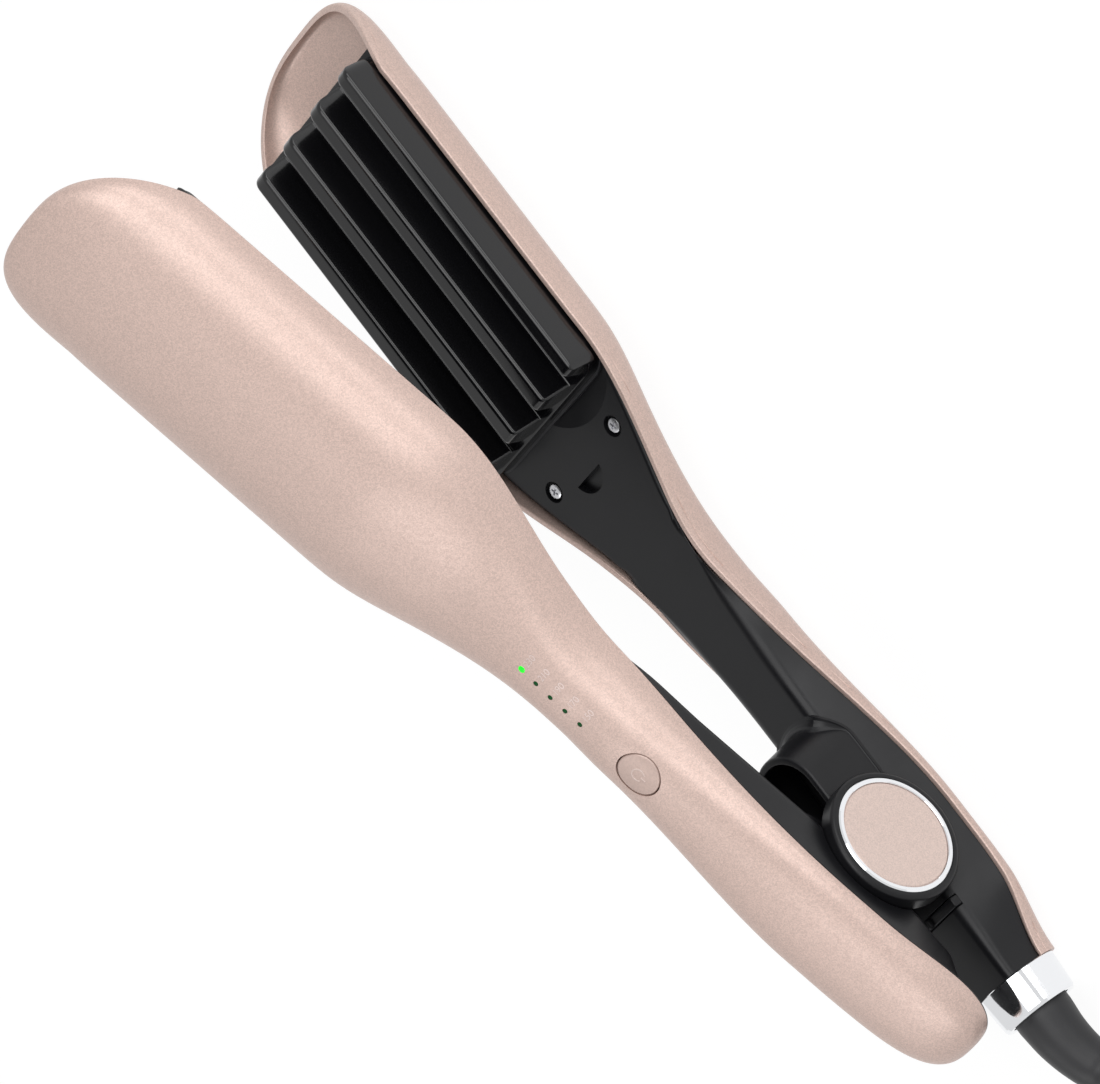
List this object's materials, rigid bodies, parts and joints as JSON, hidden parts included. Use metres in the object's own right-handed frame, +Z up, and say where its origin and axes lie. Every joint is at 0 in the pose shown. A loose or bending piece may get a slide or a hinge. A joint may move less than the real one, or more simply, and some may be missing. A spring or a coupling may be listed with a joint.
{
  "type": "hair waver",
  "caption": "Handheld hair waver: two champagne arms on a sprung side hinge, meshing black ribbed heating plates, lamps and power button, swivel mains cord wound in a coil with its plug.",
  "frame": {"origin": "middle of the box round the two arms, on the surface that the object lies on, without its cord", "axes": "+X from the cord end to the plates along the arms, +Y along the hinge pin to the far side, +Z up from the rear arm to the front arm"},
  "size_m": [0.4508, 0.099, 0.117],
  "materials": {
    "champagne": "satin metallic paint",
    "black_liner": "satin",
    "black_plate": "gloss ceramic coating",
    "bright_trim": "polished",
    "steel": "plain zinc plated",
    "heat_resin": "matt",
    "ceramic_heater": "matt",
    "fuse_body": "plain",
    "board_green": "satin",
    "switch_black": "satin",
    "lamp_green": "clear green",
    "contact_brass": "plain",
    "cord_rubber": "satin",
    "plug_black": "satin",
    "sensor_glass": "plain"
  },
  "bodies": {
    "rear_arm": {"rear_shell": "champagne", "rear_liner": "black_liner", "rear_plate": "black_plate", "rear_plate_tray": "heat_resin", "rear_heater": "ceramic_heater", "rear_heater_strap": "steel", "rear_strap_screws": "steel", "rear_liner_screws": "steel", "rear_thermal_fuse": "fuse_body", "hinge_pin": "steel", "hinge_spring": "steel", "near_cap": "black_liner", "far_cap": "black_liner", "near_ring": "bright_trim", "far_ring": "bright_trim", "near_disc": "champagne", "far_disc": "champagne", "collar": "bright_trim", "swivel_socket": "heat_resin", "brush_contacts": "contact_brass"},
    "front_arm": {"front_shell": "champagne", "front_liner": "black_liner", "front_plate": "black_plate", "front_plate_tray": "heat_resin", "front_heater": "ceramic_heater", "front_heater_strap": "steel", "front_strap_screws": "steel", "front_liner_screws": "steel", "heat_sensor": "sensor_glass", "control_board": "board_green", "board_screws": "steel", "button_switch": "switch_black", "light_pipes": "lamp_green"},
    "power_button": {"power_button": "champagne"},
    "lock_bar": {"lock_bar": "black_liner"},
    "cord_end": {"swivel_core": "heat_resin", "slip_rings": "contact_brass", "strain_relief": "cord_rubber", "power_cord": "cord_rubber", "cord_coil": "cord_rubber", "cord_tie": "heat_resin", "plug_body": "plug_black", "plug_pins": "steel"}
  },
  "joints": [
    {"name": "arm_hinge", "type": "hinge", "parent": "rear_arm", "child": "front_arm", "pos_m": [-0.0996, 0, 0.02886], "axis": [0, 1, 0], "range_deg": [0, 16], "stiffness_Nm_per_rad": 1.6, "springref_deg": -14.9, "deforming": ["hinge_spring"]},
    {"name": "button_press", "type": "slide", "parent": "front_arm", "child": "power_button", "axis": [0.2605, 0, -0.9655], "range_m": [0, 0.0005], "stiffness_N_per_m": 400, "springref_m": -0.002},
    {"name": "lock_slide", "type": "slide", "parent": "rear_arm", "child": "lock_bar", "axis": [0, 1, 0], "range_m": [0, 0.003]},
    {"name": "cord_swivel", "type": "hinge", "parent": "rear_arm", "child": "cord_end", "pos_m": [-0.15189, 0, 0.01108], "axis": [-0.9999, 0, 0.0158], "continuous": true}
  ]
}
